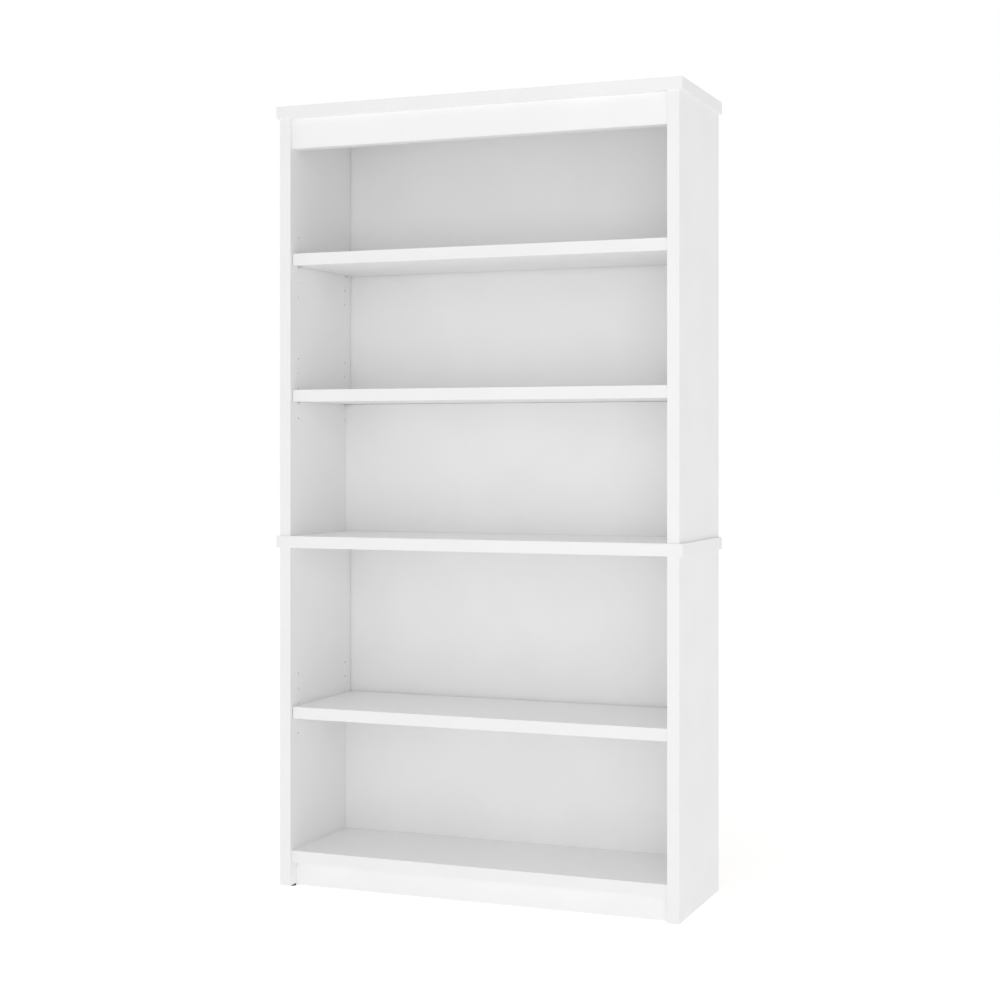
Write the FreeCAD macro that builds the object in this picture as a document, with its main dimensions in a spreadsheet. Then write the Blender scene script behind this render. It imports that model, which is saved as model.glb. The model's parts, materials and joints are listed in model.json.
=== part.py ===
import FreeCAD, Part
import os
import re

# Two-section bookcase in laminated board, with three shelves that lift off their pins.
# Millimetres. The origin is on the floor under the middle of the case: +X to the right
# as seen from the front, +Y to the back, +Z up.

doc = FreeCAD.newDocument("Bookcase")

# ---------------------------------------------------------------- sizes

driving = {
    # the whole case
    "width": 902,
    "depth": 301,
    "height": 1673,
    "board": 25.4,               # every board is this thick
    "edge_band": 1,              # plastic strip on the edges that show
    "side_overhang": 7,          # top and mid panel past the sides
    "front_overhang": 3,
    "mid_underside": 728,
    "bottom_shelf_underside": 53,
    "shelf_inset": 9,            # shelves and top rail behind the front edges of the sides
    "toe_inset": 29,
    "toe_clear": 1,              # from the floor up to the toe kick
    "top_rail_drop": 65.2,
    # back
    "sheet": 3,                  # thin back panels
    "groove_depth": 8,
    "groove_lip": 3,             # board left behind the groove
    "groove_play": 1,            # the shadow line in front of the thin panel
    "sheet_end_play": 0.5,
    "rail_to_sheet": 0.6,
    # adjustable shelves
    "shelf_end_gap": 1,
    "shelf_back_gap": 4,
    "shelf_over_rail": 0.3,      # from a back rail up to the shelf on the second holes
    "hole_radius": 2.5,
    "hole_length": 12,
    "hole_pitch": 32,
    "hole_setback": 37,          # front holes behind the front edges of the sides
    "hole_before_rail": 5,       # back holes in front of the back rails
    # middle hole of a group, as a share of its section's clear height: the two upper
    # groups count from the nearer end, the lower one from the bottom shelf
    "upper_group_share": 0.3546,
    "lower_group_share": 0.481,
    "pin_plug": 10,
    "pin_reach": 9,
    "pin_head_radius": 3,
    # levelling feet
    "foot_radius": 7.5,
    "foot_height": 5,
    "foot_chamfer": 0.5,
    "foot_setback": 26.5,        # from the front and back edges of the sides
    "foot_inset": 8.4,           # from the inner faces of the sides
    "stud_radius": 2.95,
    "stud_length": 30,
    "stud_seat": 2,              # how deep the stud sits in the pad
    "stud_room": 43,             # depth of the hole above the foot
    "insert_radius": 4.95,
    "insert_length": 15,
    # cams, bolts, dowels, screws, nails
    "clearance": 0.05,           # round every pin, bolt, dowel and screw
    "end_play": 0.5,             # past the end of every bolt, dowel and screw
    "cam_radius": 7.45,
    "cam_setback": 24,           # from the end of the board to the cam's middle
    "cam_past_bolt": 3.8,
    "cam_slot": 2,
    "bolt_radius": 2.95,
    "bolt_head_radius": 3.4,
    "bolt_head_half": 3,
    "bolt_grip": 11,
    "dowel_radius": 4,
    "dowel_length": 35,
    "dowel_in_face": 15,
    "screw_radius": 3.45,
    "screw_head_radius": 4.95,
    "screw_head": 4,
    "screw_length": 50,
    "socket_radius": 2.3,
    "nail_radius": 0.8,
    "nail_head_radius": 2,
    "nail_head": 0.5,
    "nail_length": 16,
    # where the fasteners are
    "screw_spread": 100,         # outer mid panel screws from the middle of the depth
    "dowel_spread": 50,
    "rail_fixing_inset": 168.6,  # outer screws and dowels of the rails, from their ends
    "rail_cam_inset": 50,        # back rail cams from the rail's upper and lower edges
    "top_cam_front": 60,         # from the front and the back edge of the top panel
    "top_cam_back": 80,
    "shelf_cam_front": 90,
    "shelf_cam_back": 61,
    "nail_end_inset": 45,
    "nail_low_inset": 60,        # clear of the screws that come up through the board below
    "nail_high_inset": 13,
}

derived = {
    "front": "-depth / 2",
    "back": "depth / 2",
    "side_outer": "width / 2 - side_overhang",
    "side_inner": "side_outer - board",
    "side_middle": "side_outer - board / 2",
    "side_front": "front + front_overhang",
    "top_underside": "height - board",
    "mid_top": "mid_underside + board",
    "bottom_shelf_top": "bottom_shelf_underside + board",
    "bottom_shelf_middle": "bottom_shelf_underside + board / 2",
    "shelf_front": "side_front + shelf_inset",
    "toe_front": "side_front + toe_inset",
    "sheet_back": "back - groove_lip",
    "sheet_front": "sheet_back - sheet",
    "groove_front": "sheet_front - groove_play",
    "rail_back": "sheet_front - rail_to_sheet",
    "rail_front": "rail_back - board",
    "rail_middle": "rail_back - board / 2",
    "shelf_back": "sheet_front - shelf_back_gap",
    "front_holes": "side_front + hole_setback",
    "back_holes": "rail_front - hole_before_rail",
    "group_rise": "2 * hole_pitch",
    "lower_middle": "bottom_shelf_top + lower_group_share * (mid_underside - bottom_shelf_top)",
    "lower_holes": "lower_middle - group_rise",
    "upper_setback": "upper_group_share * (top_underside - mid_top)",
    "middle_holes": "mid_top + upper_setback - group_rise",
    "upper_holes": "top_underside - upper_setback - group_rise",
    "lower_rail_top": "lower_holes + hole_pitch + hole_radius - shelf_over_rail",
    "upper_rail_top": "middle_holes + hole_pitch + hole_radius - shelf_over_rail",
    "top_rail_low": "top_underside - top_rail_drop",
    "cam_length": "board / 2 + cam_past_bolt",
    "rail_fixing": "side_inner - rail_fixing_inset",
    "nail_start": "sheet_back + nail_head",
}

sizes = doc.addObject("Spreadsheet::Sheet", "Sizes")
cells = {alias: str(value) for alias, value in driving.items()}
cells |= {alias: "=" + formula for alias, formula in derived.items()}
for row, (alias, content) in enumerate(cells.items(), start=1):
    sizes.set(f"A{row}", alias)
    sizes.set(f"B{row}", content)
    sizes.setAlias(f"B{row}", alias)
doc.recompute()

# ---------------------------------------------------------------- helpers
# A size or a place is written as a sum of the sheet's names, such as "width / 2 - board".

turned_to = {
    "+X": FreeCAD.Rotation(FreeCAD.Vector(0, 1, 0), 90),
    "-X": FreeCAD.Rotation(FreeCAD.Vector(0, 1, 0), -90),
    "+Y": FreeCAD.Rotation(FreeCAD.Vector(1, 0, 0), -90),
    "-Y": FreeCAD.Rotation(FreeCAD.Vector(1, 0, 0), 90),
    "+Z": FreeCAD.Rotation(),
    "-Z": FreeCAD.Rotation(FreeCAD.Vector(1, 0, 0), 180),
}
opposite = {"+X": "-X", "-X": "+X", "+Y": "-Y", "-Y": "+Y", "+Z": "-Z", "-Z": "+Z"}
nodes = {}        # every finished sub-part by its name
cutters = {}      # what is drilled or grooved out of each board
hardware = {}     # the separate solids of each kind of fastener


def bind(thing, prop, formula):
    named = re.sub(r"[a-z_]+", lambda word: "Sizes." + word.group(), str(formula))
    thing.setExpression(prop, named)


def place(thing, at):
    for letter, formula in zip("xyz", at):
        bind(thing, f"Placement.Base.{letter}", formula)


def shifted(at, facing, distance):
    """The point that lies a distance from another, the way that facing says."""
    moved = list(at)
    axis = "XYZ".index(facing[1])
    moved[axis] = f"{moved[axis]} {facing[0]} ({distance})"
    return moved


def block(low, high, name="Block"):
    box = doc.addObject("Part::Box", name)
    for prop, start, end in zip(("Length", "Width", "Height"), low, high):
        bind(box, prop, f"({end}) - ({start})")
    place(box, low)
    return box


def rod(at, facing, radius, length, name="Rod"):
    cylinder = doc.addObject("Part::Cylinder", name)
    cylinder.Placement.Rotation = turned_to[facing]
    bind(cylinder, "Radius", radius)
    bind(cylinder, "Height", length)
    place(cylinder, at)
    return cylinder


def fused(things, name="Fused"):
    if len(things) == 1:
        return things[0]
    whole = doc.addObject("Part::MultiFuse", name)
    whole.Shapes = things
    return whole


def less(thing, tools, name="Drilled"):
    result = doc.addObject("Part::Cut", name)
    result.Base = thing
    result.Tool = fused(tools, name + "_tools")
    return result


def finish(name, thing):
    thing.Label = name
    nodes[name] = thing


def cut_from(name, tool):
    cutters.setdefault(name, []).append(tool)


def drill(name, at, facing, radius, length):
    cut_from(name, rod(at, facing, radius, length, "Hole"))


def add_hardware(name, thing):
    hardware.setdefault(name, []).append(thing)


def board(name, low, high):
    """A board with whatever the fastenings have already drilled out of it."""
    blank = block(low, high, name + "_blank")
    finish(name, less(blank, cutters[name], name) if name in cutters else blank)


# ---------------------------------------------------------------- fastenings
# Each one drills the two boards that it joins and adds its own solids. It is given the
# point where it crosses from one board into the other, and the way from there into the
# board that holds its longer part.


def add_cam(cam_board, bolt_board, joint, into, cam_faces):
    """A bolt in one board's face, and the cam in the other board that pulls on it."""
    middle = shifted(joint, into, "cam_setback")
    mouth = shifted(middle, cam_faces, "board / 2")
    depth = opposite[cam_faces]
    drill(bolt_board, joint, opposite[into], "bolt_radius + clearance", "bolt_grip + end_play")
    drill(cam_board, joint, into, "bolt_head_radius + clearance",
          "cam_setback + bolt_head_half + end_play")
    drill(cam_board, mouth, depth, "cam_radius + clearance", "cam_length + clearance")

    foot = shifted(joint, opposite[into], "bolt_grip")
    neck = rod(foot, into, "bolt_radius", "bolt_grip + cam_setback")
    head = rod(shifted(middle, opposite[into], "bolt_head_half"), into,
               "bolt_head_radius", "2 * bolt_head_half")
    add_hardware("cam_bolts", fused([neck, head], "CamBolt"))

    drum = rod(mouth, depth, "cam_radius", "cam_length")
    way_in = rod(shifted(middle, opposite[into], "2 * cam_radius"), into,
                 "bolt_head_radius + clearance",
                 "2 * cam_radius + bolt_head_half + end_play")
    driver = rod(mouth, depth, "socket_radius", "cam_slot")
    add_hardware("cam_locks", less(drum, [way_in, driver], "CamLock"))


def add_dowel(face_board, end_board, joint, into):
    """A dowel with its shorter part in a board's face and the rest in a board's end."""
    start = shifted(joint, opposite[into], "dowel_in_face")
    add_hardware("dowels", rod(start, into, "dowel_radius", "dowel_length", "Dowel"))
    drill(face_board, joint, opposite[into], "dowel_radius + clearance",
          "dowel_in_face + end_play")
    drill(end_board, joint, into, "dowel_radius + clearance",
          "dowel_length - dowel_in_face + end_play")


def add_screw(kind, face_board, end_board, start, into):
    """A screw through the whole of one board into the end of the next, its head flush."""
    shank = rod(start, into, "screw_radius", "screw_length")
    head = rod(start, into, "screw_head_radius", "screw_head")
    socket = doc.addObject("Part::Prism", "Socket")
    socket.Polygon = 6
    socket.Placement.Rotation = turned_to[into]
    bind(socket, "Circumradius", "socket_radius")
    bind(socket, "Height", "screw_head - 2 * end_play")
    place(socket, start)
    add_hardware(kind, less(fused([shank, head]), [socket], "Screw"))
    drill(face_board, start, into, "screw_radius + clearance", "board")
    drill(face_board, start, into, "screw_head_radius + clearance", "screw_head")
    drill(end_board, shifted(start, into, "board"), into, "screw_radius + clearance",
          "screw_length - board + end_play")


def add_nail(sheet_board, held_board, x, z):
    """A nail through a thin back panel, its head against the panel's back."""
    start = [x, "sheet_back", z]
    shank = rod(start, "-Y", "nail_radius", "nail_length")
    head = rod([x, "nail_start", z], "-Y", "nail_head_radius", "nail_head")
    add_hardware("back_panel_nails", fused([shank, head], "Nail"))
    drill(sheet_board, start, "-Y", "nail_radius + clearance", "sheet")
    drill(held_board, [x, "rail_back", z], "-Y", "nail_radius + clearance",
          "nail_length + end_play - sheet - rail_to_sheet")


sides = {"left": -1, "right": 1}
inward = {"left": "+X", "right": "-X"}
rail_fixings = ["-rail_fixing", "0", "rail_fixing"]
nails_across = ["nail_end_inset - side_inner", "-rail_fixing / 2",
                "rail_fixing / 2", "side_inner - nail_end_inset"]

for side, sign in sides.items():
    upper_side = f"upper_{side}_side"
    lower_side = f"lower_{side}_side"
    into_case = inward[side]
    inner = f"{sign} * side_inner"
    middle = f"{sign} * side_middle"

    # upper sides: cams and dowels up into the top panel, dowels down into the mid panel
    for y in ("front + top_cam_front", "back - top_cam_back"):
        add_cam(upper_side, "top_panel", [middle, y, "top_underside"], "-Z", into_case)
    for y in ("-dowel_spread / 2", "dowel_spread / 2"):
        add_dowel("top_panel", upper_side, [middle, y, "top_underside"], "-Z")
    for y in ("-dowel_spread", "dowel_spread"):
        add_dowel("mid_panel", upper_side, [middle, y, "mid_top"], "+Z")

    # lower sides: screws down through the mid panel
    for y in ("-screw_spread", "0", "screw_spread"):
        add_screw("mid_panel_screws", "mid_panel", lower_side, [middle, y, "mid_top"], "-Z")

    # bottom shelf: cams from below, dowels between them
    for y in ("front + shelf_cam_front", "back - shelf_cam_back"):
        joint = [inner, y, "bottom_shelf_middle"]
        add_cam("bottom_shelf", lower_side, joint, into_case, "-Z")
    for y in ("-dowel_spread / 2", "dowel_spread / 2"):
        add_dowel(lower_side, "bottom_shelf", [inner, y, "bottom_shelf_middle"], into_case)

    # rails and toe kick: cams in their hidden faces
    for rail, high_side, low, high in (
        ("lower_back_rail", lower_side, "bottom_shelf_top", "lower_rail_top"),
        ("upper_back_rail", upper_side, "mid_top", "upper_rail_top"),
    ):
        for z in (f"{low} + rail_cam_inset", f"{high} - rail_cam_inset"):
            add_cam(rail, high_side, [inner, "rail_middle", z], into_case, "+Y")
        add_dowel(high_side, rail, [inner, "rail_middle", f"({low} + {high}) / 2"], into_case)
    joint = [inner, "shelf_front + board / 2", "top_underside - top_rail_drop / 2"]
    add_cam("top_rail", upper_side, joint, into_case, "+Y")
    joint = [inner, "toe_front + board / 2", "(toe_clear + bottom_shelf_underside) / 2"]
    add_cam("toe_kick", lower_side, joint, into_case, "+Y")

for x in rail_fixings:
    add_screw("back_rail_screws", "mid_panel", "upper_back_rail",
              [x, "rail_middle", "mid_underside"], "+Z")
    add_screw("back_rail_screws", "bottom_shelf", "lower_back_rail",
              [x, "rail_middle", "bottom_shelf_underside"], "+Z")
    add_dowel("top_panel", "top_rail", [x, "shelf_front + board / 2", "top_underside"], "-Z")
    add_dowel("bottom_shelf", "toe_kick",
              [x, "toe_front + board / 2", "bottom_shelf_underside"], "-Z")

for x in nails_across:
    add_nail("lower_back_panel", "bottom_shelf", x, "bottom_shelf_middle")
    add_nail("lower_back_panel", "lower_back_rail", x, "lower_rail_top - nail_high_inset")
    add_nail("upper_back_panel", "upper_back_rail", x, "mid_top + nail_low_inset")
    add_nail("upper_back_panel", "upper_back_rail", x, "upper_rail_top - nail_high_inset")

# ---------------------------------------------------------------- shelf holes and grooves

# For each shelf: the height of its lowest hole, and the section that the holes are in.
hole_groups = {
    "upper": ("upper_holes", "upper"),
    "middle": ("middle_holes", "upper"),
    "lower": ("lower_holes", "lower"),
}
holes_in_group = 5
for side, sign in sides.items():
    for lowest, section in hole_groups.values():
        for y in ("front_holes", "back_holes"):
            for step in range(holes_in_group):
                mouth = [f"{sign} * side_inner", y, f"{lowest} + {step} * hole_pitch"]
                drill(f"{section}_{side}_side", mouth, opposite[inward[side]],
                      "hole_radius", "hole_length")


def groove(name, low_x, high_x, low_z, high_z):
    cut_from(name, block([low_x, "groove_front", low_z], [high_x, "sheet_back", high_z], "Groove"))


for section, low, high in (
    ("lower", "foot_height", "mid_underside"),
    ("upper", "mid_top", "top_underside"),
):
    groove(f"{section}_left_side", "-side_inner - groove_depth", "-side_inner", low, high)
    groove(f"{section}_right_side", "side_inner", "side_inner + groove_depth", low, high)
for name, low, high in (
    ("mid_panel", "mid_underside", "mid_underside + groove_depth"),
    ("mid_panel", "mid_top - groove_depth", "mid_top"),
    ("top_panel", "top_underside", "top_underside + groove_depth"),
):
    groove(name, "-side_inner - groove_depth", "side_inner + groove_depth", low, high)

# ---------------------------------------------------------------- levelling feet

for side, sign in sides.items():
    for end, y in (
        ("front", "side_front + foot_setback"),
        ("back", "back - foot_setback"),
    ):
        x = f"{sign} * (side_inner + foot_inset)"
        lower_side = f"lower_{side}_side"
        at_side = [x, y, "foot_height"]
        drill(lower_side, at_side, "+Z", "insert_radius + clearance", "insert_length")
        drill(lower_side, at_side, "+Z", "stud_radius + 2 * clearance", "stud_room")
        bush = rod(at_side, "+Z", "insert_radius", "insert_length")
        thread = rod(at_side, "+Z", "stud_radius + clearance", "insert_length")
        add_hardware("foot_inserts", less(bush, [thread], "Insert"))

        seat = [x, y, "foot_height - stud_seat"]
        rim = rod([x, y, "0"], "+Z", "foot_radius", "foot_height - foot_chamfer")
        bevel = doc.addObject("Part::Cone", "Bevel")
        bind(bevel, "Radius1", "foot_radius")
        bind(bevel, "Radius2", "foot_radius - foot_chamfer")
        bind(bevel, "Height", "foot_chamfer")
        place(bevel, [x, y, "foot_height - foot_chamfer"])
        socket = rod(seat, "+Z", "stud_radius + clearance", "stud_seat")
        finish(f"foot_pad_{end}_{side}", less(fused([rim, bevel]), [socket], "FootPad"))
        finish(f"foot_stud_{end}_{side}", rod(seat, "+Z", "stud_radius", "stud_length", "Stud"))

# ---------------------------------------------------------------- boards

for side, low_x, high_x in (
    ("left", "-side_outer", "-side_inner"),
    ("right", "side_inner", "side_outer"),
):
    for section, low_z, high_z in (
        ("lower", "foot_height", "mid_underside"),
        ("upper", "mid_top", "top_underside"),
    ):
        board(f"{section}_{side}_side",
              [low_x, "side_front + edge_band", low_z], [high_x, "back", high_z])
        band = block([low_x, "side_front", low_z], [high_x, "side_front + edge_band", high_z])
        add_hardware(f"{section}_side_edge_bands", band)

for name, low_z in (("mid_panel", "mid_underside"), ("top_panel", "top_underside")):
    low = ["edge_band - width / 2", "front + edge_band", low_z]
    high = ["width / 2 - edge_band", "back", f"{low_z} + board"]
    board(name, low, high)
    outside = block(["-width / 2", "front", low_z], ["width / 2", "back", f"{low_z} + board"])
    finish(f"{name}_edge_band", less(outside, [block(low, high)], f"{name}_band"))

board("bottom_shelf", ["-side_inner", "shelf_front + edge_band", "bottom_shelf_underside"],
      ["side_inner", "rail_back", "bottom_shelf_top"])
finish("bottom_shelf_edge_band",
       block(["-side_inner", "shelf_front", "bottom_shelf_underside"],
             ["side_inner", "shelf_front + edge_band", "bottom_shelf_top"]))

board("toe_kick", ["-side_inner", "toe_front", "toe_clear"],
      ["side_inner", "toe_front + board", "bottom_shelf_underside"])
board("top_rail", ["-side_inner", "shelf_front", "top_rail_low + edge_band"],
      ["side_inner", "shelf_front + board", "top_underside"])
finish("top_rail_edge_band",
       block(["-side_inner", "shelf_front", "top_rail_low"],
             ["side_inner", "shelf_front + board", "top_rail_low + edge_band"]))

for section, low_z, high_z in (
    ("lower", "bottom_shelf_top", "lower_rail_top"),
    ("upper", "mid_top", "upper_rail_top"),
):
    board(f"{section}_back_rail", ["-side_inner", "rail_front", low_z],
          ["side_inner", "rail_back", f"{high_z} - edge_band"])
    band = block(["-side_inner", "rail_front", f"{high_z} - edge_band"],
                 ["side_inner", "rail_back", high_z])
    add_hardware("back_rail_edge_bands", band)

sheet_end = "(side_inner + groove_depth - sheet_end_play)"
for section, low_z, high_z in (
    ("lower", "bottom_shelf_underside", "mid_underside + groove_depth - sheet_end_play"),
    ("upper", "mid_top - groove_depth + sheet_end_play",
     "top_underside + groove_depth - sheet_end_play"),
):
    board(f"{section}_back_panel", [f"-{sheet_end}", "sheet_front", low_z],
          [sheet_end, "sheet_back", high_z])

# ---------------------------------------------------------------- shelves and their pins

shelf_stands_on = {"upper": 2, "middle": 1, "lower": 1}    # counted from the lowest hole
for shelf, (lowest, section) in hole_groups.items():
    hole = f"{lowest} + {shelf_stands_on[shelf]} * hole_pitch"
    underside = f"{hole} + hole_radius"
    length = "(side_inner - shelf_end_gap)"
    finish(f"{shelf}_shelf",
           block([f"-{length}", "shelf_front + edge_band", underside],
                 [length, "shelf_back", f"{underside} + board"]))
    finish(f"{shelf}_shelf_edge_band",
           block([f"-{length}", "shelf_front", underside],
                 [length, "shelf_front + edge_band", f"{underside} + board"]))
    for side, sign in sides.items():
        for end, y in (("front", "front_holes"), ("back", "back_holes")):
            mouth = [f"{sign} * side_inner", y, hole]
            plug = rod(mouth, opposite[inward[side]], "hole_radius - clearance", "pin_plug")
            head = rod(mouth, inward[side], "pin_head_radius", "pin_reach")
            x = mouth[0]
            flat = block(
                [f"{x} - pin_reach", f"{y} - pin_head_radius", underside],
                [f"{x} + pin_reach", f"{y} + pin_head_radius", f"{hole} + pin_head_radius"])
            pin = less(fused([plug, head]), [flat], "Pin")
            finish(f"{shelf}_shelf_pin_{end}_{side}", pin)

# ---------------------------------------------------------------- groups of fasteners

for name, solids in hardware.items():
    group = doc.addObject("Part::Compound", name)
    group.Links = solids
    finish(name, group)

# ---------------------------------------------------------------- check and write

doc.recompute()
for thing in doc.Objects:
    if "Invalid" in thing.State or "Error" in thing.State:
        raise RuntimeError(f"{thing.Label} could not be made: {thing.State}")
for thing in doc.findObjects("Part::Cut"):
    if not thing.Shape.Volume < thing.Base.Shape.Volume - 0.1:
        raise RuntimeError(f"nothing was cut from {thing.Label}")
for name, thing in nodes.items():
    if thing.Shape.isNull() or not thing.Shape.isValid():
        raise RuntimeError(f"{name} has no valid shape")
    if thing.Label != name:
        raise RuntimeError(f"{name} is labelled {thing.Label}")

os.makedirs("parts", exist_ok=True)
for name, thing in nodes.items():
    thing.Shape.exportStep(f"parts/{name}.step")
print(f"{len(nodes)} sub-parts written")
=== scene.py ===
import json
import math

import bmesh
import bpy
import numpy as np
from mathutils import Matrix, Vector


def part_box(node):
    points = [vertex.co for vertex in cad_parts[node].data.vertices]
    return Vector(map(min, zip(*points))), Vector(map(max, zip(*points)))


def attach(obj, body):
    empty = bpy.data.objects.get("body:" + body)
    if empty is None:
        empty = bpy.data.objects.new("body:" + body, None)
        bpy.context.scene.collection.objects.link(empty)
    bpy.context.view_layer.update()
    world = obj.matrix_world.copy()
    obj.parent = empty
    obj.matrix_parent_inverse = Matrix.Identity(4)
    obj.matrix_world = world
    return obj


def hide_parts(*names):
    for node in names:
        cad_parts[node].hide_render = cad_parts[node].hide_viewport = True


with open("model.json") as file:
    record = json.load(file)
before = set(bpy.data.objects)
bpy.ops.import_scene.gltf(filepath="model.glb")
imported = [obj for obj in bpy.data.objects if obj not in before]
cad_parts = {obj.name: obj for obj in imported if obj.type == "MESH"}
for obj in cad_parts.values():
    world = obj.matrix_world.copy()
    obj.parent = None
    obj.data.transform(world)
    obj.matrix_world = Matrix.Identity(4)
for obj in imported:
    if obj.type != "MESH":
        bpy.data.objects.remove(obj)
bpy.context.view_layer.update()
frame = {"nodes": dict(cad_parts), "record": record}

mm = 0.001
mounts = {mount["name"]: mount for mount in frame["record"]["mounts"]}
print("frame loaded,", len(frame["nodes"]), "nodes")


cameraView = {
    "place": (1.4536, -3.6443, 0.9442),   # metres from the middle of the case's foot
    "turn": 21.67,                        # degrees to the left of straight ahead, held level
    "lens": 66.3,
    "shift": -0.0532,
    "sensorMm": 36,
}

studio = {
    "backdrop": 1.0,         # brightness of the room behind the case, pure white
    "front": 0.65,           # brightness of the room in front of it
    "turnover": 0.75,        # the change from one to the other, each way from the middle
    "darkerRight": 0.3,      # how much less of it comes from the right
    "rightReach": 0.9,       # how far to the right that is reached
    "floorColour": "#A0A0A0",
    "floorRoughness": 0.9,
    "floorGlow": 0.72,       # the floor is a light table, so that shadows stay faint
    "floorSize": 60,
    "softboxWatts": 33.5,
    "softboxSize": 3,
    "softboxPlace": (1.4, -3.9, 1.5),
    "softboxAim": (0, 0, 0.85),
}


def hexLinear(hexColour):
    # an sRGB hex colour as the linear red, green, blue and alpha that a shader wants
    channels = []
    for start in (1, 3, 5):
        value = int(hexColour[start:start + 2], 16) / 255
        channels.append(value / 12.92 if value <= 0.04045 else ((value + 0.055) / 1.055) ** 2.4)
    return (*channels, 1)


def addNode(tree, kind, settings=None, links=None):
    # settings: the node's own properties, or sockets by name or number; links: socket to output
    node = tree.nodes.new(kind)
    for name, value in (settings or {}).items():
        if isinstance(name, str) and hasattr(node, name):
            setattr(node, name, value)
        else:
            node.inputs[name].default_value = value
    for name, output in (links or {}).items():
        tree.links.new(output, node.inputs[name])
    return node


def makeCamera():
    camera = bpy.data.objects.new("camera", bpy.data.cameras.new("camera"))
    bpy.context.scene.collection.objects.link(camera)
    camera.location = cameraView["place"]
    camera.rotation_euler = (math.radians(90), 0, math.radians(cameraView["turn"]))
    camera.data.sensor_width = cameraView["sensorMm"]
    camera.data.lens = cameraView["lens"]
    camera.data.shift_y = cameraView["shift"]
    bpy.context.scene.camera = camera


def makeStudio():
    bpy.context.scene.view_settings.view_transform = "Standard"   # so that white board stays white
    world = bpy.data.worlds.new("whiteRoom")
    world.use_nodes = True
    tree = world.node_tree
    direction = addNode(tree, "ShaderNodeTexCoord").outputs["Generated"]
    parts = addNode(tree, "ShaderNodeSeparateXYZ", {}, {"Vector": direction})
    behind = addNode(tree, "ShaderNodeMapRange",
                     {"From Min": -studio["turnover"], "From Max": studio["turnover"],
                      "To Min": studio["front"], "To Max": studio["backdrop"]},
                     {"Value": parts.outputs["Y"]})
    right = addNode(tree, "ShaderNodeMapRange",
                    {"From Min": 0, "From Max": studio["rightReach"], "To Min": 0,
                     "To Max": -studio["darkerRight"]}, {"Value": parts.outputs["X"]})
    brightness = addNode(tree, "ShaderNodeMath", {"operation": "ADD"},
                         {0: behind.outputs["Result"], 1: right.outputs["Result"]})
    tree.nodes["Background"].inputs["Color"].default_value = (1, 1, 1, 1)
    tree.links.new(brightness.outputs[0], tree.nodes["Background"].inputs["Strength"])
    bpy.context.scene.world = world

    light = bpy.data.lights.new("softbox", "AREA")
    light.energy = studio["softboxWatts"]
    light.size = studio["softboxSize"]
    lamp = bpy.data.objects.new("softbox", light)
    bpy.context.scene.collection.objects.link(lamp)
    lamp.location = studio["softboxPlace"]
    toAim = Vector(studio["softboxAim"]) - Vector(studio["softboxPlace"])
    lamp.rotation_euler = toAim.to_track_quat("-Z", "Y").to_euler()

    half = studio["floorSize"] / 2
    mesh = bpy.data.meshes.new("floor")
    corners = [(-half, -half, 0), (half, -half, 0), (half, half, 0), (-half, half, 0)]
    mesh.from_pydata(corners, [], [(0, 1, 2, 3)])
    floor = bpy.data.objects.new("floor", mesh)
    bpy.context.scene.collection.objects.link(floor)
    paint = bpy.data.materials.new("whitePaintedFloor")
    paint.use_nodes = True
    shader = paint.node_tree.nodes["Principled BSDF"]
    shader.inputs["Base Color"].default_value = hexLinear(studio["floorColour"])
    shader.inputs["Roughness"].default_value = studio["floorRoughness"]
    shader.inputs["Emission Color"].default_value = (1, 1, 1, 1)
    shader.inputs["Emission Strength"].default_value = studio["floorGlow"]
    mesh.materials.append(paint)


makeCamera()
makeStudio()
print("camera, lights and floor made")

# Every pattern is laid out in the case's own metres, so a scale of 1 / size is a real size.


def startMaterial(name, colour, roughness, metallic=0, ior=None):
    material = bpy.data.materials.new(name)
    material.use_nodes = True
    tree = material.node_tree
    shader = tree.nodes["Principled BSDF"]
    shader.inputs["Base Color"].default_value = hexLinear(colour)
    shader.inputs["Roughness"].default_value = roughness
    shader.inputs["Metallic"].default_value = metallic
    if ior:
        shader.inputs["IOR"].default_value = ior
    place = addNode(tree, "ShaderNodeTexCoord").outputs["Object"]
    return material, tree, shader, place


def addMottle(tree, shader, place, sizeMm, darker, lighter, detail=4, span=(0.35, 0.65)):
    # slow drift of the colour between two close shades, over that span of the noise
    noise = addNode(tree, "ShaderNodeTexNoise", {"Scale": 1 / (sizeMm * mm), "Detail": detail},
                    {"Vector": place})
    ramp = addNode(tree, "ShaderNodeValToRGB", {}, {"Fac": noise.outputs["Fac"]})
    for stop, position, colour in zip(ramp.color_ramp.elements, span, (darker, lighter)):
        stop.position = position
        stop.color = hexLinear(colour)
    tree.links.new(ramp.outputs["Color"], shader.inputs["Base Color"])


def addRoughness(tree, shader, place, sizeMm, low, high):
    # slow drift of the gloss between two close values
    noise = addNode(tree, "ShaderNodeTexNoise", {"Scale": 1 / (sizeMm * mm), "Detail": 3},
                    {"Vector": place})
    spread = addNode(tree, "ShaderNodeMapRange",
                     {"From Min": 0.3, "From Max": 0.7, "To Min": low, "To Max": high},
                     {"Value": noise.outputs["Fac"]})
    tree.links.new(spread.outputs["Result"], shader.inputs["Roughness"])


def addBump(tree, shader, heightOutput, heightMm, strength=1):
    bump = addNode(tree, "ShaderNodeBump", {"Strength": strength, "Distance": heightMm * mm},
                   {"Height": heightOutput})
    tree.links.new(bump.outputs["Normal"], shader.inputs["Normal"])


def addNoise(tree, place, sizeMm, detail=2, stretch=(1, 1, 1)):
    # stretch lengthens the pattern along an axis
    mapped = addNode(tree, "ShaderNodeMapping", {"Scale": tuple(1 / s for s in stretch)},
                     {"Vector": place})
    return addNode(tree, "ShaderNodeTexNoise", {"Scale": 1 / (sizeMm * mm), "Detail": detail},
                   {"Vector": mapped.outputs["Vector"]}).outputs["Fac"]


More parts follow.
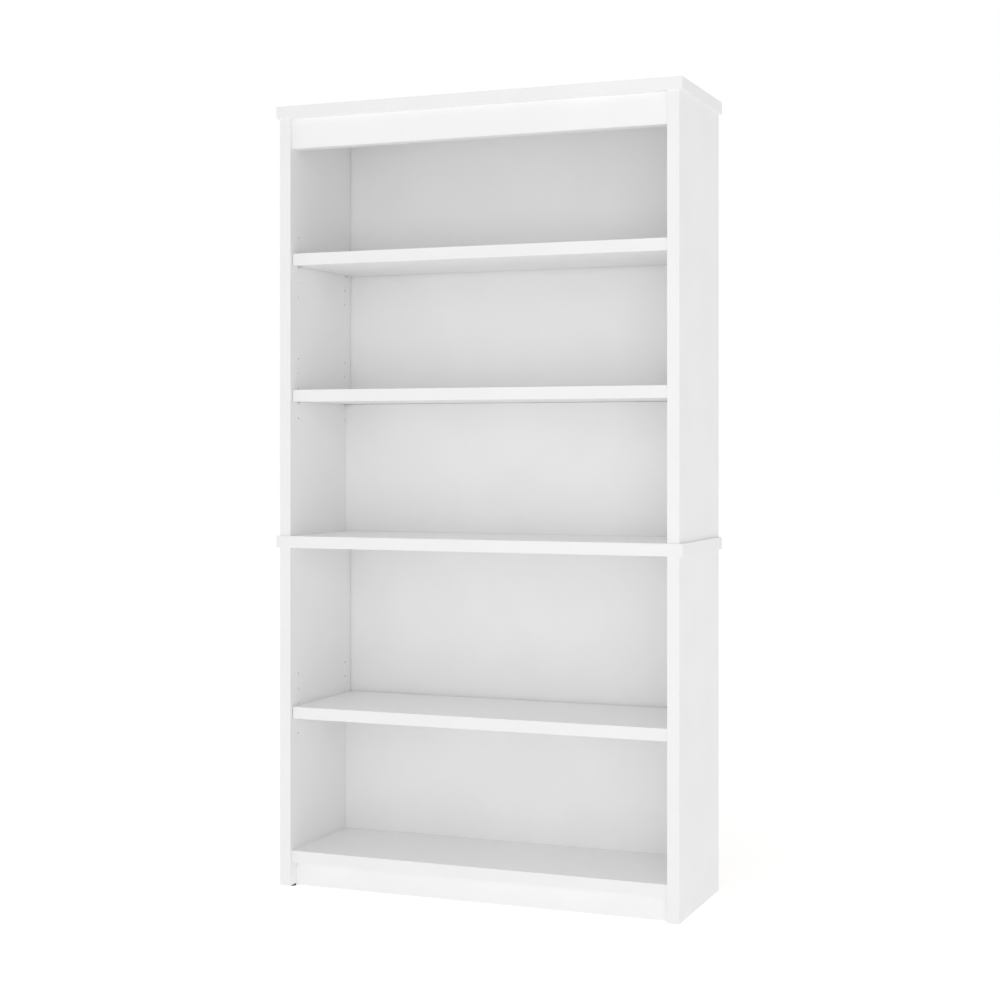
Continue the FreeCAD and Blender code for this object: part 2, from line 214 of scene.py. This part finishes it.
# Melamine paper pressed on chipboard: a hard white satin skin with the press plate's fine pearl.
# The real pearl is about 0.5 mm; it is drawn at 2.5 mm so that it shows.
laminateLook = {"dark": "#F6F6F6", "light": "#F9F9F9", "cloudMm": 170, "pearlMm": 2.5,
                "pearlHeightMm": 0.012, "glossMm": 60, "roughness": (0.36, 0.46)}


def makeLaminate():
    look = laminateLook
    material, tree, shader, place = startMaterial("pressedWhiteMelamine", look["light"], 0.4,
                                                  ior=1.5)
    addMottle(tree, shader, place, look["cloudMm"], look["dark"], look["light"])
    addRoughness(tree, shader, place, look["glossMm"], *look["roughness"])
    addBump(tree, shader, addNoise(tree, place, look["pearlMm"]), look["pearlHeightMm"])
    return material


# ABS edge strip, extruded and scraped flush: a little glossier than the board, with faint
# draw lines along its length. They are about 0.2 mm apart, and drawn at 0.9 mm.
edgingLook = {"dark": "#F4F4F4", "light": "#F6F6F6", "cloudMm": 90, "lineMm": 0.9,
              "lineHeightMm": 0.006, "stretch": 60, "glossMm": 40, "roughness": (0.3, 0.38)}


def makeEdging(name, along):
    # along: the axes that its strips may run along
    look = edgingLook
    material, tree, shader, place = startMaterial(name, look["light"], 0.34, ior=1.53)
    addMottle(tree, shader, place, look["cloudMm"], look["dark"], look["light"])
    addRoughness(tree, shader, place, look["glossMm"], *look["roughness"])
    stretch = tuple(look["stretch"] if axis in along else 1 for axis in "XYZ")
    lines = addNoise(tree, place, look["lineMm"], stretch=stretch)
    addBump(tree, shader, lines, look["lineHeightMm"])
    return material


# Flat-pressed chipboard where it is bare: sanded chips of spruce and pine in a paler meal.
chipboardLook = {"chipMm": 3.2, "bendMm": 6, "bendByMm": 4, "dustMm": 0.8, "heightMm": 0.25,
                 "shades": ["#A88458", "#C9A87A", "#DCC196", "#B8925F"]}


def makeChipboard():
    look = chipboardLook
    material, tree, shader, place = startMaterial("sandedBareChipboard", look["shades"][1], 0.85,
                                                  ior=1.45)
    bent = addNode(tree, "ShaderNodeTexNoise",
                   {"Scale": 1 / (look["bendMm"] * mm), "Detail": 2}, {"Vector": place})
    shaken = addNode(tree, "ShaderNodeVectorMath",
                     {"operation": "SCALE", "Scale": look["bendByMm"] * mm},
                     {0: bent.outputs["Color"]})
    moved = addNode(tree, "ShaderNodeVectorMath", {"operation": "ADD"},
                    {0: place, 1: shaken.outputs[0]})
    chips = addNode(tree, "ShaderNodeTexVoronoi", {"Scale": 1 / (look["chipMm"] * mm)},
                    {"Vector": moved.outputs[0]})
    grey = addNode(tree, "ShaderNodeSeparateColor", {}, {"Color": chips.outputs["Color"]})
    ramp = addNode(tree, "ShaderNodeValToRGB", {}, {"Fac": grey.outputs["Red"]})
    stops = ramp.color_ramp.elements
    while len(stops) < len(look["shades"]):
        stops.new(0.5)
    for number, shade in enumerate(look["shades"]):
        stops[number].position = number / (len(look["shades"]) - 1)
        stops[number].color = hexLinear(shade)
    tree.links.new(ramp.outputs["Color"], shader.inputs["Base Color"])
    addBump(tree, shader, addNoise(tree, place, look["dustMm"], 4), look["heightMm"], 0.6)
    return material


# Thin high-density fibreboard, roller-painted white on the face and bare brown behind.
# The wet-pressed back has the print of the screen that it lay on, really 1.2 mm, drawn at 3 mm.
fibreboardLook = {"paintDark": "#F5F5F5", "paintLight": "#F7F7F7", "paintCloudMm": 120,
                  "glossMm": 50, "roughness": (0.5, 0.62), "rollerMm": 1.8,
                  "rollerHeightMm": 0.015, "brownDark": "#7A5B3C", "brownLight": "#8F6E4B",
                  "brownCloudMm": 14, "brownSpan": (0.25, 0.65), "screenMm": 3,
                  "screenHeightMm": 0.08}


def makePaintedFibreboard():
    look = fibreboardLook
    material, tree, shader, place = startMaterial("rollerPaintedFibreboard", look["paintLight"],
                                                  0.55, ior=1.47)
    addMottle(tree, shader, place, look["paintCloudMm"], look["paintDark"], look["paintLight"])
    addRoughness(tree, shader, place, look["glossMm"], *look["roughness"])
    addBump(tree, shader, addNoise(tree, place, look["rollerMm"]), look["rollerHeightMm"])
    return material


def makeBareFibreboard():
    look = fibreboardLook
    material, tree, shader, place = startMaterial("screenPressedFibreboard", look["brownLight"],
                                                  0.8, ior=1.45)
    addMottle(tree, shader, place, look["brownCloudMm"], look["brownDark"], look["brownLight"],
              8, look["brownSpan"])
    parts = addNode(tree, "ShaderNodeSeparateXYZ", {}, {"Vector": place})
    waves = []
    for axis in "XZ":
        turns = addNode(tree, "ShaderNodeMath",
                        {"operation": "MULTIPLY", 1: 2 * math.pi / (look["screenMm"] * mm)},
                        {0: parts.outputs[axis]})
        waves.append(addNode(tree, "ShaderNodeMath", {"operation": "SINE"},
                             {0: turns.outputs[0]}).outputs[0])
    both = addNode(tree, "ShaderNodeMath", {"operation": "ADD"}, {0: waves[0], 1: waves[1]})
    addBump(tree, shader, both.outputs[0], look["screenHeightMm"] / 2)
    return material


# Bright nickel on turned steel: pale and satin, with a very fine grain.
# Zinc on cold-headed steel: bluish, with a coarser grain. Die-cast zinc: grey, the mould's grain.
metalLook = {
    "nickelPlatedSteel": {"colour": "#ECECEA", "roughness": 0.38, "grainMm": 0.5,
                          "heightMm": 0.004},
    "zincPlatedSteel": {"colour": "#BEC2C8", "roughness": 0.34, "grainMm": 0.9, "heightMm": 0.01},
    "dieCastZinc": {"colour": "#9C9EA2", "roughness": 0.5, "grainMm": 0.7, "heightMm": 0.03},
}


def makeMetal(name):
    look = metalLook[name]
    roughness = look["roughness"]
    material, tree, shader, place = startMaterial(name, look["colour"], roughness, metallic=1)
    addRoughness(tree, shader, place, 4, roughness * 0.8, roughness * 1.25)
    addBump(tree, shader, addNoise(tree, place, look["grainMm"], 3), look["heightMm"])
    return material


# Polypropylene moulded black, with the spark-eroded mould's fine grain.
footLook = {"dark": "#141414", "light": "#1C1C1D", "cloudMm": 8, "glossMm": 6,
            "roughness": (0.4, 0.55), "grainMm": 0.5, "grainHeightMm": 0.02}


def makeBlackPlastic():
    look = footLook
    material, tree, shader, place = startMaterial("mouldedBlackPolypropylene", look["dark"],
                                                  0.45, ior=1.49)
    addMottle(tree, shader, place, look["cloudMm"], look["dark"], look["light"])
    addRoughness(tree, shader, place, look["glossMm"], *look["roughness"])
    addBump(tree, shader, addNoise(tree, place, look["grainMm"]), look["grainHeightMm"])
    return material


# Beech rod, sanded: pale pinkish brown with small darker flecks.
beechLook = {"dark": "#B98C60", "light": "#D6AE80", "fleckMm": 0.7, "heightMm": 0.03}


def makeBeech():
    look = beechLook
    material, tree, shader, place = startMaterial("sandedBeech", look["light"], 0.6, ior=1.45)
    addMottle(tree, shader, place, look["fleckMm"], look["dark"], look["light"], 3)
    addBump(tree, shader, addNoise(tree, place, look["fleckMm"]), look["heightMm"])
    return material


laminate = makeLaminate()
uprightEdging = makeEdging("extrudedAbsEdgingUpright", "Z")
levelEdging = makeEdging("extrudedAbsEdgingLevel", "XY")
chipboard = makeChipboard()
paintedFibreboard = makePaintedFibreboard()
bareFibreboard = makeBareFibreboard()
nickel = makeMetal("nickelPlatedSteel")
zincPlate = makeMetal("zincPlatedSteel")
castZinc = makeMetal("dieCastZinc")
blackPlastic = makeBlackPlastic()
beech = makeBeech()
print("materials made")


facings = {
    "+X": Vector((1, 0, 0)), "-X": Vector((-1, 0, 0)),
    "+Y": Vector((0, 1, 0)), "-Y": Vector((0, -1, 0)),
    "+Z": Vector((0, 0, 1)), "-Z": Vector((0, 0, -1)),
}


def otherAxes(axis):
    return [other for other in range(3) if other != axis]


def placed(axis, level, corner):
    # the point at that level along the axis, with the corner in the two other axes
    point = [corner[0], corner[1]]
    point.insert(axis, level)
    return point


def extrude(outline, axis, low, high):
    # outline: corners in the two other axes, in X, Y, Z order
    mesh = bmesh.new()
    rings = []
    for level in (low, high):
        rings.append([mesh.verts.new(placed(axis, level, corner)) for corner in outline])
        mesh.faces.new(rings[-1])
    for number in range(len(outline)):
        following = (number + 1) % len(outline)
        mesh.faces.new((rings[0][number], rings[0][following],
                        rings[1][following], rings[1][number]))
    bmesh.ops.recalc_face_normals(mesh, faces=mesh.faces)
    return mesh


def block(low, high):
    # a plain box between two corners
    return extrude([(low.x, low.y), (high.x, low.y), (high.x, high.y), (low.x, high.y)],
                   2, low.z, high.z)


def softenEdges(mesh, radius, wanted=None, segments=2):
    edges = [edge for edge in mesh.edges if wanted is None or wanted(edge)]
    bmesh.ops.bevel(mesh, geom=edges, offset=radius, segments=segments, profile=0.5,
                    affect="EDGES", clamp_overlap=True)


def onOuterCorner(mesh, sides):
    # picks the edges that lie where two of the named sides of the mesh's box meet
    points = np.array([vert.co for vert in mesh.verts])
    low, high = points.min(0), points.max(0)

    def wanted(edge):
        middle = (edge.verts[0].co + edge.verts[1].co) / 2
        touched = 0
        for side in sides:
            axis = "XYZ".index(side[1])
            level = high[axis] if side[0] == "+" else low[axis]
            touched += abs(middle[axis] - level) < 1e-6
        return touched >= 2
    return wanted


def circle(centre, radius, count=28):
    return [(centre[0] + radius * math.cos(2 * math.pi * step / count),
             centre[1] + radius * math.sin(2 * math.pi * step / count)) for step in range(count)]


def rectangle(centre, size):
    return [(centre[0] + x * size[0] / 2, centre[1] + y * size[1] / 2)
            for x, y in ((-1, -1), (1, -1), (1, 1), (-1, 1))]


def roundedStart(corner, radius):
    # (distance, radius) pairs of a start whose edge is rounded by that corner
    angles = [math.radians(step) for step in (0, 30, 60, 90)]
    return [(corner - corner * math.cos(angle), radius - corner + corner * math.sin(angle))
            for angle in angles]


def sinkPockets(mesh, facing, level, pockets, chamfer=0.15 * mm):
    # pockets: (outline on the face, its centre, depth), all in the one face at that level
    axis = "XYZ".index(facing[1])
    out = facings[facing]

    def liesHere(face):
        return face.normal.dot(out) > 0.999 and abs(face.calc_center_median()[axis] - level) < 1e-5

    face = max(filter(liesHere, mesh.faces), key=lambda found: found.calc_area())
    border = list(face.edges)
    mesh.faces.remove(face)
    wells = []
    for outline, centre, depth in pockets:
        ring = [mesh.verts.new(placed(axis, level, corner)) for corner in outline]
        border += [mesh.edges.new((ring[n - 1], ring[n])) for n in range(len(ring))]
        wells.append((ring, centre, depth))
    bmesh.ops.triangle_fill(mesh, use_beauty=True, edges=border, normal=out)
    made = []        # the faces of each pocket
    for ring, centre, depth in wells:
        faces = []
        middle = Vector(placed(axis, level, centre))
        size = max((vert.co - middle).length for vert in ring)
        shrink = 1 - chamfer / size
        last = ring
        for scale, fall in ((shrink, chamfer), (shrink, depth)):
            lower = [mesh.verts.new(middle + (vert.co - middle) * scale - out * fall)
                     for vert in ring]
            for n in range(len(ring)):
                faces.append(mesh.faces.new((last[n - 1], last[n], lower[n], lower[n - 1])))
            last = lower
        faces.append(mesh.faces.new(last))
        made.append(faces)
    bmesh.ops.recalc_face_normals(mesh, faces=mesh.faces)
    return made


def turn(profile, start, along, count=32):
    # profile: (distance along, radius) pairs from the start; a flat face closes each end
    mesh = bmesh.new()
    out = facings[along]
    axis = "XYZ".index(along[1])
    first, second = otherAxes(axis)
    rings = []
    for distance, radius in profile:
        centre = Vector(start) + out * distance
        ring = []
        for x, y in circle((0, 0), radius, count):
            point = centre.copy()
            point[first] += x
            point[second] += y
            ring.append(mesh.verts.new(point))
        rings.append(ring)
    for lower, upper in zip(rings, rings[1:]):
        for n in range(count):
            mesh.faces.new((lower[n - 1], lower[n], upper[n], upper[n - 1]))
    mesh.faces.new(rings[0])
    mesh.faces.new(rings[-1])
    bmesh.ops.recalc_face_normals(mesh, faces=mesh.faces)
    return mesh


def joined(meshes):
    whole = bmesh.new()
    for mesh in meshes:
        spare = bpy.data.meshes.new("spare")
        mesh.to_mesh(spare)
        whole.from_mesh(spare)
        mesh.free()
        bpy.data.meshes.remove(spare)
    return whole


def finishPiece(name, mesh, materials, body, replaced):
    for face in mesh.faces:
        face.smooth = True
    data = bpy.data.meshes.new(name)
    mesh.to_mesh(data)
    mesh.free()
    piece = bpy.data.objects.new(name, data)
    bpy.context.scene.collection.objects.link(piece)
    for material in materials:
        data.materials.append(material)
    modifier = piece.modifiers.new("evenNormals", "WEIGHTED_NORMAL")
    modifier.weight = 100
    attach(piece, body)
    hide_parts(*replaced)


def looseBoxes(node):
    # (lowest, highest) corner of each separate solid of a node
    mesh = bmesh.new()
    mesh.from_mesh(frame["nodes"][node].data)
    bmesh.ops.remove_doubles(mesh, verts=mesh.verts, dist=1e-6)
    boxes = []
    left = set(mesh.verts)
    while left:
        front = [left.pop()]
        found = []
        while front:
            vert = front.pop()
            found.append(vert.co.copy())
            for edge in vert.link_edges:
                other = edge.other_vert(vert)
                if other in left:
                    left.remove(other)
                    front.append(other)
        points = np.array(found)
        boxes.append((Vector(points.min(0)), Vector(points.max(0))))
    mesh.free()
    return sorted(boxes, key=lambda box: tuple(round(value, 4) for value in (*box[0], *box[1])))


fittings = {
    "pinHoleRows": 5,
    "pinHoleRadius": 2.5 * mm,
    "pinHoleDepth": 12 * mm,
    "grooveDepth": 8 * mm,
    "groovePlay": 1 * mm,
    "clearance": 0.05 * mm,
    "screwHeadRadius": 4.95 * mm,
    "screwHeadDepth": 4 * mm,
    "camRadius": 7.45 * mm,
    "insertRadius": 4.95 * mm,
    "insertDepth": 15 * mm,
}
letIn = {}       # board node: {(facing, level): [pocket]}


def letInto(board, facing, at, outline, centre, depth):
    level = round(at["XYZ".index(facing[1])], 6)
    letIn.setdefault(board, {}).setdefault((facing, level), []).append((outline, centre, depth))


def roundPocket(board, facing, at, radius, depth):
    first, second = otherAxes("XYZ".index(facing[1]))
    centre = (at[first], at[second])
    letInto(board, facing, at, circle(centre, radius), centre, depth)


def onAxis(low, high, height):
    # the point at that height on the middle line of an upright piece
    return Vector(((low.x + high.x) / 2, (low.y + high.y) / 2, height))


def boardHolding(point, boards):
    for board in boards:
        low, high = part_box(board)
        if all(low[axis] < point[axis] < high[axis] for axis in range(3)):
            return board


boards = ["top_panel", "mid_panel", "bottom_shelf", "toe_kick", "top_rail",
          "lower_back_rail", "upper_back_rail",
          "lower_left_side", "lower_right_side", "upper_left_side", "upper_right_side"]

for shelf, section in (("upper", "upper"), ("middle", "upper"), ("lower", "lower")):
    for side, facing in (("left", "+X"), ("right", "-X")):
        corners = mounts[f"{shelf}_outer_pin_holes_{side}"]
        x, y, z = corners["pos_m"]
        halfY = corners["dims"]["spacing_x_mm"] * mm / 2
        halfZ = corners["dims"]["spacing_y_mm"] * mm / 2
        for column in (y - halfY, y + halfY):
            for row in range(fittings["pinHoleRows"]):
                rowZ = z - halfZ + 2 * halfZ * row / (fittings["pinHoleRows"] - 1)
                roundPocket(f"{section}_{side}_side", facing, (x, column, rowZ),
                            fittings["pinHoleRadius"], fittings["pinHoleDepth"])

cams = []        # (middle of the mouth, the way that it faces, length)
for low, high in looseBoxes("cam_locks"):
    middle = (low + high) / 2
    size = high - low
    axis = max(range(3), key=lambda found: size[found])
    facing = {0: "-X" if middle.x > 0 else "+X", 1: "+Y", 2: "-Z"}[axis]
    mouth = middle.copy()
    mouth[axis] = high[axis] if facing[0] == "+" else low[axis]
    cams.append((mouth, facing, size[axis]))
    roundPocket(boardHolding(middle, boards), facing, mouth,
                fittings["camRadius"] + fittings["clearance"], size[axis])

headHole = fittings["screwHeadRadius"] + fittings["clearance"]
for low, high in looseBoxes("back_rail_screws"):
    head = onAxis(low, high, low.z)
    board = boardHolding(head + Vector((0, 0, mm)), boards)
    roundPocket(board, "-Z", head, headHole, fittings["screwHeadDepth"])
for low, high in looseBoxes("mid_panel_screws"):
    roundPocket("mid_panel", "+Z", onAxis(low, high, high.z), headHole,
                fittings["screwHeadDepth"])
for low, high in looseBoxes("foot_inserts"):
    mouth = onAxis(low, high, low.z)
    board = "lower_left_side" if mouth.x < 0 else "lower_right_side"
    roundPocket(board, "-Z", mouth, fittings["insertRadius"] + fittings["clearance"],
                fittings["insertDepth"])

backLow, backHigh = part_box("upper_back_panel")
grooveFront = backLow.y - fittings["groovePlay"]
grooveBack = backHigh.y
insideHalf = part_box("upper_right_side")[0].x
grooveCentre = (0, (grooveFront + grooveBack) / 2)
grooveSize = (2 * (insideHalf + fittings["grooveDepth"]), grooveBack - grooveFront)
for board, facing in (("top_panel", "-Z"), ("mid_panel", "-Z"), ("mid_panel", "+Z")):
    low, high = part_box(board)
    at = (0, 0, high.z if facing == "+Z" else low.z)
    letInto(board, facing, at, rectangle(grooveCentre, grooveSize), grooveCentre,
            fittings["grooveDepth"])
print("holes and grooves placed")


boardLook = {
    "edge": 0.25 * mm,       # the sharp edge that the saw and the edge strip leave
    "rawSides": {            # where bare chipboard shows; a board left out has none
        "top_panel": ["+Y"], "mid_panel": ["+Y"], "bottom_shelf": ["+Y", "+X", "-X"],
        "toe_kick": ["+Z"], "top_rail": ["+Z"],
        "lower_back_rail": ["-Z"], "upper_back_rail": ["-Z"],
        "lower_left_side": ["+Y", "+Z", "-Z"], "lower_right_side": ["+Y", "+Z", "-Z"],
        "upper_left_side": ["+Y", "+Z", "-Z"], "upper_right_side": ["+Y", "+Z", "-Z"],
    },
}


def paintSides(mesh, sides, index):
    # gives the faces that point the way of a named side the material with that number
    for face in mesh.faces:
        if any(face.normal.dot(facings[side]) > 0.9 for side in sides):
            face.material_index = index


def sideOutline(low, high):
    # the side's section seen from above, with the groove for the back panel
    outer, inner = (low.x, high.x) if low.x < 0 else (high.x, low.x)
    floorOfGroove = inner + (fittings["grooveDepth"] if inner > 0 else -fittings["grooveDepth"])
    return [(outer, low.y), (inner, low.y), (inner, grooveFront), (floorOfGroove, grooveFront),
            (floorOfGroove, grooveBack), (inner, grooveBack), (inner, high.y), (outer, high.y)]


def makeBoard(node, body="root"):
    low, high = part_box(node)
    if node.endswith("_side"):
        mesh = extrude(sideOutline(low, high), 2, low.z, high.z)
    else:
        mesh = block(low, high)
    softenEdges(mesh, boardLook["edge"])
    skin, core = 0, 1        # the numbers of the two materials below
    paintSides(mesh, boardLook["rawSides"].get(node, []), core)
    for (facing, level), pockets in letIn.get(node, {}).items():
        for faces, pocket in zip(sinkPockets(mesh, facing, level, pockets), pockets):
            isPinHole = pocket[2] == fittings["pinHoleDepth"]    # these are white inside
            for face in faces:
                face.material_index = skin if isPinHole else core
    finishPiece(node + "_board", mesh, [laminate, chipboard], body, [node])


for node in boards:
    makeBoard(node)
for shelf in ("upper_shelf", "middle_shelf", "lower_shelf"):
    makeBoard(shelf, shelf)
print("boards made")


backPanelLook = {
    "edge": 0.2 * mm,
    "rawSides": ["+Y", "+Z", "-Z"],     # brown; the upright edges are in the grooves
}


def makeBackPanel(node):
    mesh = block(*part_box(node))
    softenEdges(mesh, backPanelLook["edge"])
    paintSides(mesh, backPanelLook["rawSides"], 1)
    finishPiece(node + "_sheet", mesh, [paintedFibreboard, bareFibreboard], "root",
                [node])


makeBackPanel("lower_back_panel")
makeBackPanel("upper_back_panel")
print("back panels made")


stripLook = {
    "corner": 0.7 * mm,      # the cutter's radius along the strip's outer corners
    "segments": 3,
}


def makeStrip(name, node, roundedSides, material=levelEdging, body="root"):
    meshes = []
    for low, high in looseBoxes(node):
        mesh = block(low, high)
        softenEdges(mesh, stripLook["corner"], onOuterCorner(mesh, roundedSides),
                    stripLook["segments"])
        meshes.append(mesh)
    finishPiece(name, joined(meshes), [material], body, [node])


def makeWrappedStrip(node):
    # one strip round the front and both ends of a full-width panel
    low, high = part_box(node)
    coreLow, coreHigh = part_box(node.replace("_edge_band", ""))
    outline = [(low.x, high.y), (low.x, low.y), (high.x, low.y), (high.x, high.y),
               (coreHigh.x, high.y), (coreHigh.x, coreLow.y),
               (coreLow.x, coreLow.y), (coreLow.x, high.y)]
    mesh = extrude(outline, 2, low.z, high.z)
    softenEdges(mesh, stripLook["corner"], onOuterCorner(mesh, ["-X", "+X", "-Y", "-Z", "+Z"]),
                stripLook["segments"])
    finishPiece(node + "_strip", mesh, [levelEdging], "root", [node])


makeWrappedStrip("top_panel_edge_band")
makeWrappedStrip("mid_panel_edge_band")
for section in ("lower", "upper"):
    node = f"{section}_side_edge_bands"
    makeStrip(node + "_strips", node, ["-X", "+X", "-Y"], uprightEdging)
makeStrip("bottom_shelf_strip", "bottom_shelf_edge_band", ["-Y", "-Z", "+Z"])
makeStrip("top_rail_strip", "top_rail_edge_band", ["-Y", "+Y", "-Z"])
makeStrip("back_rail_strips", "back_rail_edge_bands", ["-Y", "+Y", "+Z"])
for shelf in ("upper_shelf", "middle_shelf", "lower_shelf"):
    makeStrip(shelf + "_strip", shelf + "_edge_band", ["-X", "+X", "-Y", "-Z", "+Z"], body=shelf)
print("edge strips made")


pinLook = {
    "plugRadius": 2.45 * mm,
    "headRadius": 3 * mm,
    "plugLength": 10 * mm,
    "nose": 0.8 * mm,        # rounding of both ends
    "neck": 0.25 * mm,       # depth of the turned relief behind the shoulder
    "neckStart": 1.2 * mm,   # from the shoulder
    "bevel": 0.2 * mm,       # of the relief's end and of the shoulder
    "facets": 40,
}


def makePin(node):
    low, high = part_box(node)
    look = pinLook
    length = high.x - low.x
    along = "+X" if low.x < 0 else "-X"
    plug, head, bevel = look["plugRadius"], look["headRadius"], look["bevel"]
    shoulder = look["plugLength"]
    neckStart = shoulder - look["neckStart"]
    neck = plug - look["neck"]
    profile = roundedStart(look["nose"], plug)
    profile += [(neckStart, plug), (neckStart + bevel, neck), (shoulder, neck),
                (shoulder, head - bevel), (shoulder + bevel, head)]
    profile += [(length - distance, radius)
                for distance, radius in reversed(roundedStart(look["nose"], head))]
    start = (low.x if along == "+X" else high.x, (low.y + high.y) / 2, low.z + head)
    mesh = turn(profile, start, along, look["facets"])
    for vert in mesh.verts:
        vert.co.z = min(vert.co.z, high.z)    # the flat that the shelf lies on
    finishPiece(node + "_turned", mesh, [nickel], node, [node])


for shelf in ("upper", "middle", "lower"):
    for end in ("front", "back"):
        for side in ("left", "right"):
            makePin(f"{shelf}_shelf_pin_{end}_{side}")
print("shelf pins made")


footShape = {
    "rim": 0.6 * mm,
    "recess": (3.5 * mm, 5.8 * mm, 0.5 * mm),   # moulded ring under the pad: inner, outer, depth
    "dimple": (1 * mm, 1.5 * mm),               # the one at its middle, the same depth
    "draft": 0.2 * mm,       # how far the walls of both lean
    "hub": 1 * mm,           # radius of the flat on top
    "bevel": (0.2 * mm, 0.3 * mm),
    "padFacets": 56,
    "threadPitch": 1 * mm,
    "threadDepth": 0.5 * mm,
    "threadPoint": 0.4 * mm,   # how much thinner each end is
    "turnSteps": 24,         # round the stud
    "pitchSteps": 8,         # along one turn
}


def makePad(node, body):
    low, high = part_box(node)
    look = footShape
    radius, thick, rim = (high.x - low.x) / 2, high.z - low.z, look["rim"]
    ringIn, ringOut, depth = look["recess"]
    dimpleIn, dimpleOut = look["dimple"]
    down, inward = look["bevel"]
    draft = look["draft"]
    profile = [(depth, dimpleIn), (depth, dimpleOut), (0, dimpleOut + draft),
               (0, ringIn), (depth, ringIn + draft), (depth, ringOut), (0, ringOut + draft)]
    profile += roundedStart(rim, radius)
    profile += [(thick - rim, radius), (thick - down, radius - inward),
                (thick, radius - rim), (thick, look["hub"])]
    mesh = turn(profile, onAxis(low, high, low.z), "+Z", look["padFacets"])
    finishPiece(node + "_moulded", mesh, [blackPlastic], body, [node])


def makeStud(node, body):
    # a true helix: the radius follows the angle and the height together
    low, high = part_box(node)
    look = footShape
    steps, pitchSteps, pitch = look["turnSteps"], look["pitchSteps"], look["threadPitch"]
    radius = (high.x - low.x) / 2
    centre = (low + high) / 2
    rows = int((high.z - low.z) / pitch * pitchSteps)
    mesh = bmesh.new()
    rings = []
    for row in range(rows + 1):
        height = low.z + (high.z - low.z) * row / rows
        ring = []
        for step in range(steps):
            angle = 2 * math.pi * step / steps
            phase = ((height - low.z) / pitch - step / steps) % 1
            cut = look["threadDepth"] * (1 - abs(2 * phase - 1))
            fromEnd = min(row, rows - row) / pitchSteps
            here = radius - max(cut, look["threadPoint"] * max(0, 1 - fromEnd))
            ring.append(mesh.verts.new((centre.x + here * math.cos(angle),
                                        centre.y + here * math.sin(angle), height)))
        rings.append(ring)
    for lower, upper in zip(rings, rings[1:]):
        for n in range(steps):
            mesh.faces.new((lower[n - 1], lower[n], upper[n], upper[n - 1]))
    mesh.faces.new(rings[0])
    mesh.faces.new(rings[-1])
    bmesh.ops.recalc_face_normals(mesh, faces=mesh.faces)
    finishPiece(node + "_threaded", mesh, [zincPlate], body, [node])


for end in ("front", "back"):
    for side in ("left", "right"):
        makePad(f"foot_pad_{end}_{side}", f"foot_{end}_{side}")
        makeStud(f"foot_stud_{end}_{side}", f"foot_{end}_{side}")
print("feet made")


hardwareLook = {
    "camEdge": 0.4 * mm,
    "camFacets": 48,
    "crossLong": 4.6 * mm,
    "crossWide": 1.3 * mm,
    "crossDepth": 2 * mm,
    "arrow": 1.3 * mm,       # the mark that shows which way the cam is turned
    "arrowDepth": 0.3 * mm,
    "arrowOut": 5 * mm,      # from the cam's middle
    "nailHeadDome": 0.25 * mm,
    "nailHeadThick": 0.5 * mm,
    "nailShank": 0.8 * mm,   # radius
    "nailTip": 2 * mm,       # length
    "nailFacets": 20,
}


def crossOutline(centre, long, wide):
    a, b = long / 2, wide / 2
    corners = [(-b, -a), (b, -a), (b, -b), (a, -b), (a, b), (b, b),
               (b, a), (-b, a), (-b, b), (-a, b), (-a, -b), (-b, -b)]
    return [(centre[0] + x, centre[1] + y) for x, y in corners]


def makeCams():
    look = hardwareLook
    meshes = []
    for mouth, facing, length in cams:
        axis = "XYZ".index(facing[1])
        first, second = otherAxes(axis)
        centre = (mouth[first], mouth[second])
        bottom = mouth[axis] - length if facing[0] == "+" else mouth[axis] + length
        drum = extrude(circle(centre, fittings["camRadius"], look["camFacets"]), axis,
                       min(mouth[axis], bottom), max(mouth[axis], bottom))
        softenEdges(drum, look["camEdge"],
                    lambda edge: abs(edge.verts[0].co[axis] - edge.verts[1].co[axis]) < 1e-7)
        arrowAt = (centre[0] + look["arrowOut"], centre[1])
        arrow = [(arrowAt[0] + look["arrow"], arrowAt[1]),
                 (arrowAt[0] - look["arrow"] / 2, arrowAt[1] + look["arrow"] * 0.8),
                 (arrowAt[0] - look["arrow"] / 2, arrowAt[1] - look["arrow"] * 0.8)]
        cross = crossOutline(centre, look["crossLong"], look["crossWide"])
        sinkPockets(drum, facing, mouth[axis],
                    [(cross, centre, look["crossDepth"]), (arrow, arrowAt, look["arrowDepth"])])
        meshes.append(drum)
    finishPiece("cam_locks_cast", joined(meshes), [castZinc], "root", ["cam_locks"])


def makeNails():
    look = hardwareLook
    dome, thick, shank = look["nailHeadDome"], look["nailHeadThick"], look["nailShank"]
    point = 0.1 * mm
    meshes = []
    for low, high in looseBoxes("back_panel_nails"):
        middle = (low + high) / 2
        radius = (high.x - low.x) / 2
        length = high.y - low.y
        profile = [(0, point), (point, radius * 0.5), (dome, radius * 0.9),
                   (dome + point, radius), (thick, radius), (thick, shank),
                   (length - look["nailTip"], shank), (length, point)]
        meshes.append(turn(profile, (middle.x, high.y, middle.z), "-Y", look["nailFacets"]))
    finishPiece("back_panel_nails_headed", joined(meshes), [zincPlate], "root",
                ["back_panel_nails"])


makeCams()
makeNails()
plainPieces = {"cam_bolts": zincPlate, "mid_panel_screws": zincPlate,
               "back_rail_screws": zincPlate, "foot_inserts": zincPlate, "dowels": beech}
for node, material in plainPieces.items():     # these keep their shapes from the frame
    slots = frame["nodes"][node].data.materials
    for index in range(len(slots)):
        slots[index] = material
    if not slots:
        slots.append(material)
print("hardware made")
